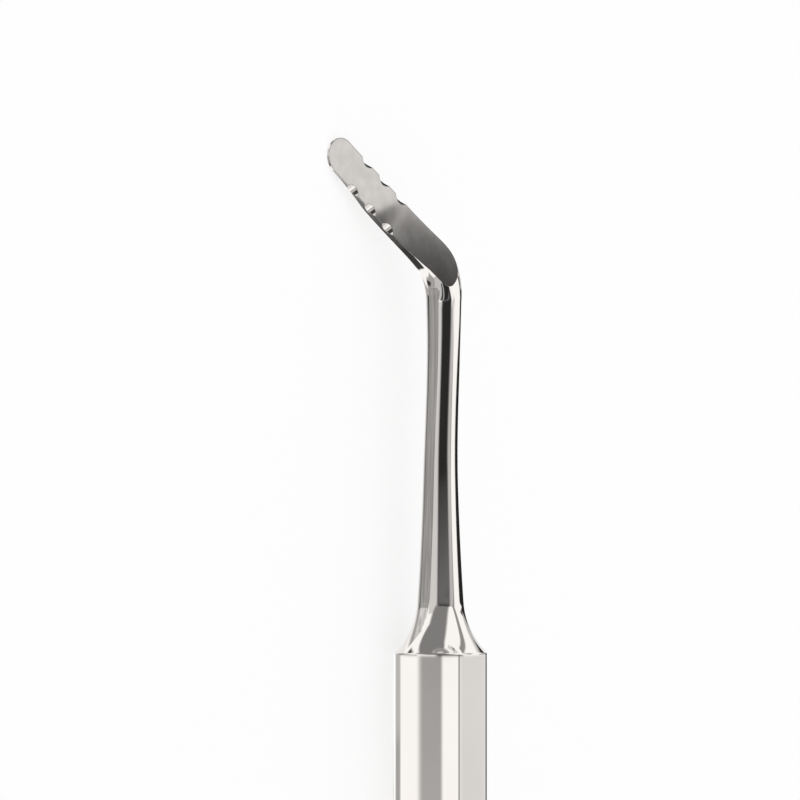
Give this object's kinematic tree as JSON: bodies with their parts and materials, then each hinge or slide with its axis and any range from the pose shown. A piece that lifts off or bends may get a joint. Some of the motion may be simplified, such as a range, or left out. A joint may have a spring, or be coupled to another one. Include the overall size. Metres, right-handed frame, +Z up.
{
  "type": "luxating elevator",
  "caption": "One-piece steel elevator: round handle, flared shoulder, slim waisted shank and a sideways bent, round-backed blade with a ground face and notched edges",
  "frame": {"origin": "middle of the footprint, on the surface that the instrument lies on", "axes": "+Z up, +Y along the handle towards the blade, -X the side that the blade is bent to; the instrument is rolled about its axis until the blade touches the surface"},
  "size_m": [0.0214, 0.1602, 0.01],
  "materials": {
    "polished_steel": "polished"
  },
  "bodies": {
    "root": {"luxating_elevator": "polished_steel"}
  },
  "joints": []
}
